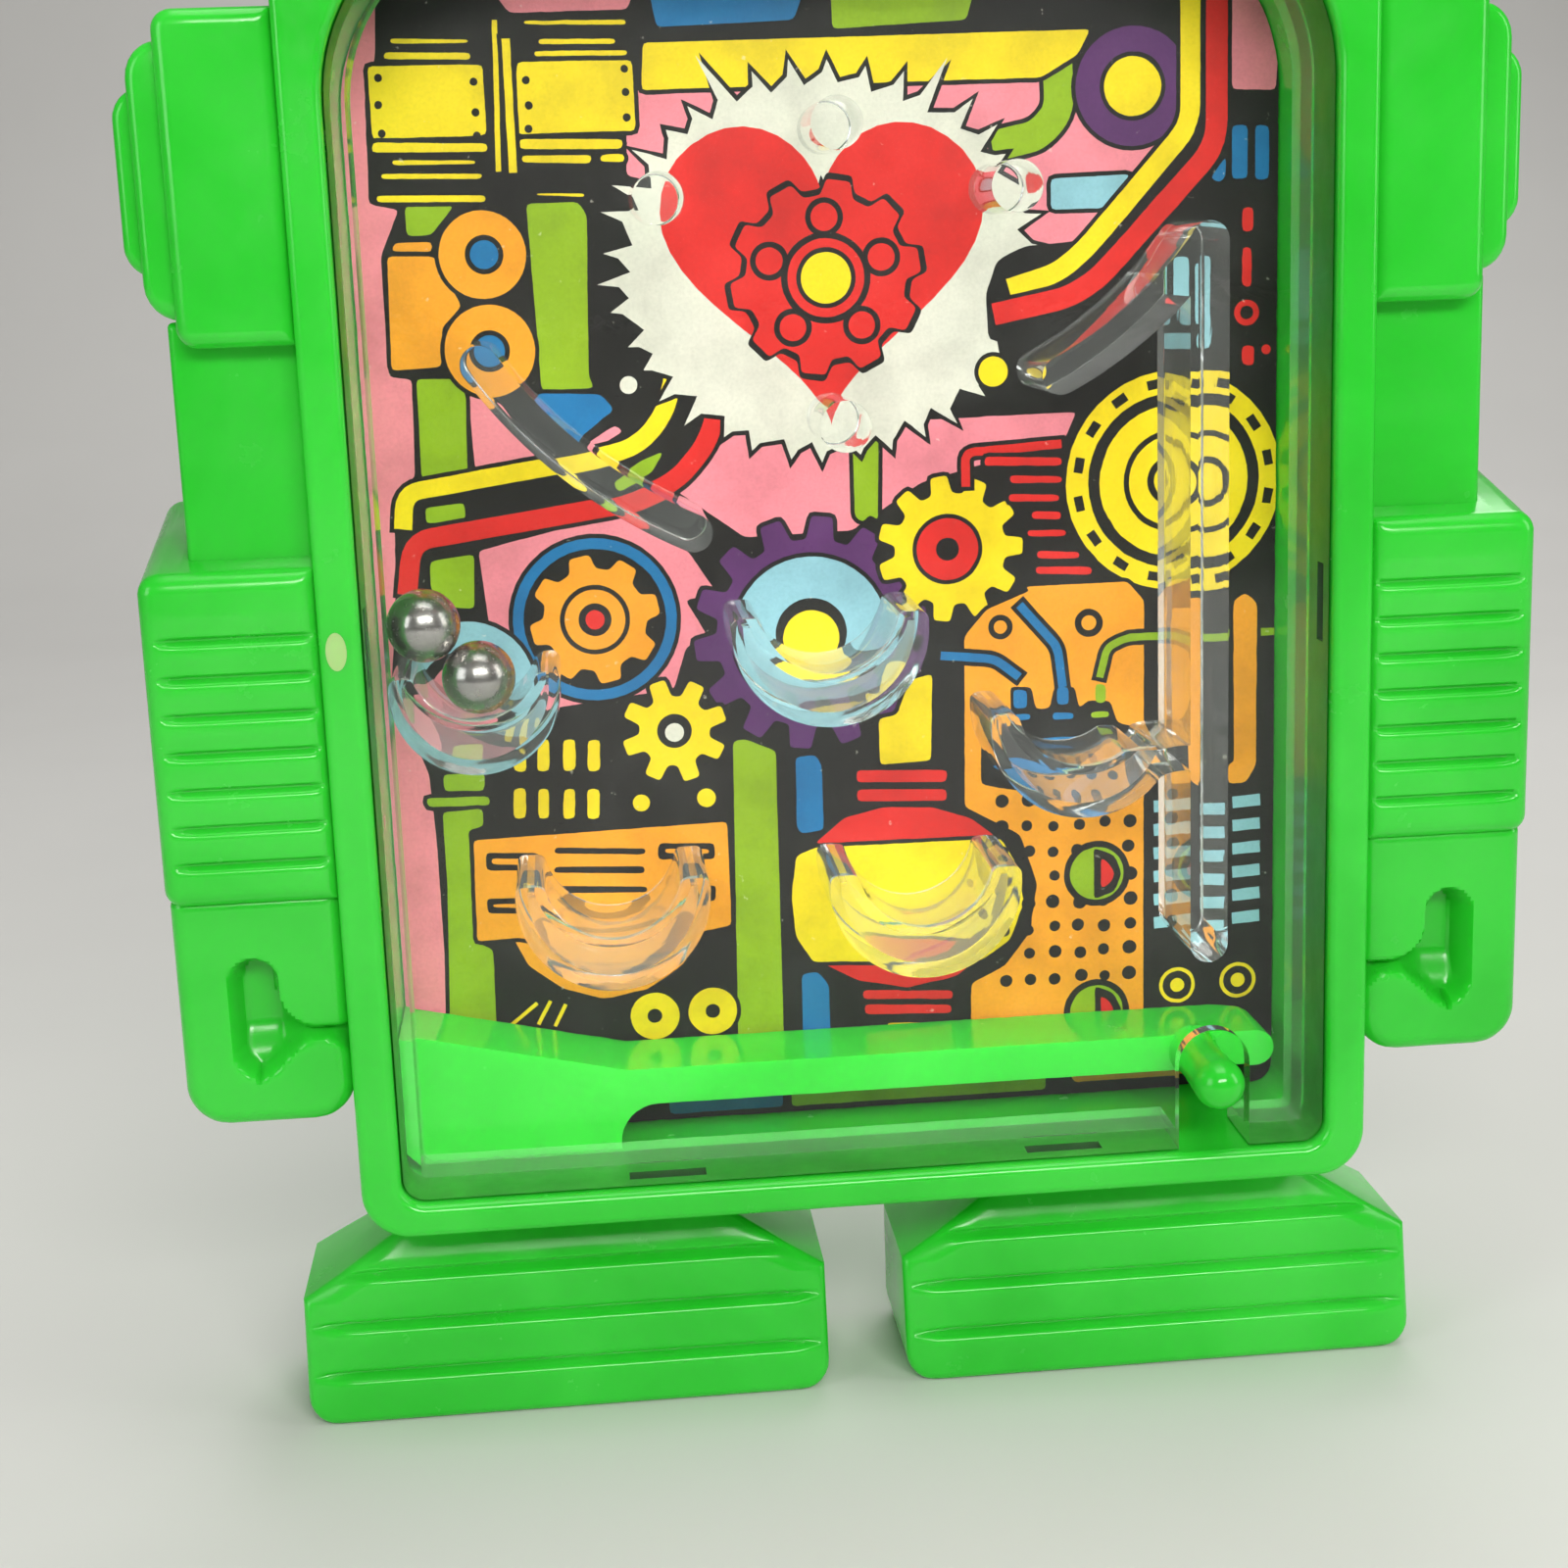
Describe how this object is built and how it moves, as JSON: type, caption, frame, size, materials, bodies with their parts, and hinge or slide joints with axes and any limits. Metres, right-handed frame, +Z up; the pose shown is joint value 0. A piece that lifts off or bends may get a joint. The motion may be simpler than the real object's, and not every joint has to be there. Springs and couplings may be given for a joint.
{
  "type": "pocket pachinko machine",
  "caption": "Robot-shaped pocket pachinko game: green casing with arms, feet and head, clear cover with pins and cups over a printed card, steel balls and a spring launch lever.",
  "frame": {"origin": "on the ground, at the middle of the overall width and depth", "axes": "+Z up, +X right as seen from the front, front faces -Y"},
  "size_m": [0.0848, 0.0188, 0.1212],
  "materials": {
    "green_plastic": "gloss",
    "clear_plastic": "clear",
    "printed_card": "satin",
    "steel": "polished",
    "screw_steel": "satin"
  },
  "bodies": {
    "root": {"casing": "green_plastic", "back_cover": "green_plastic", "arm_left": "green_plastic", "arm_right": "green_plastic", "foot_left": "green_plastic", "foot_right": "green_plastic", "head": "green_plastic", "lever_block": "green_plastic", "back_screws": "screw_steel", "playfield_card": "printed_card", "clear_cover": "clear_plastic", "pin_top": "clear_plastic", "pin_left": "clear_plastic", "pin_right": "clear_plastic", "pin_bottom": "clear_plastic", "cup_wall": "clear_plastic", "cup_centre": "clear_plastic", "cup_lower_left": "clear_plastic", "cup_lower_right": "clear_plastic", "cup_lane": "clear_plastic", "lane_rib": "clear_plastic", "guide_left": "clear_plastic", "guide_right": "clear_plastic"},
    "lever": {"launch_lever": "green_plastic"},
    "ball_upper": {"ball_upper": "steel"},
    "ball_lower": {"ball_lower": "steel"}
  },
  "joints": [
    {"name": "lever_bend", "type": "hinge", "parent": "root", "child": "lever", "pos_m": [-0.013, 0.00185, 0.0215], "axis": [0, 1, 0], "range_deg": [0, 4.8], "stiffness_Nm_per_rad": 0.5},
    {"name": "ball_upper_roll", "type": "slide", "parent": "root", "child": "ball_upper", "axis": [0, 0, 1], "range_m": [0, 0.03]},
    {"name": "ball_lower_roll", "type": "slide", "parent": "root", "child": "ball_lower", "axis": [0.7071, 0, 0.7071], "range_m": [0, 0.0085]}
  ]
}
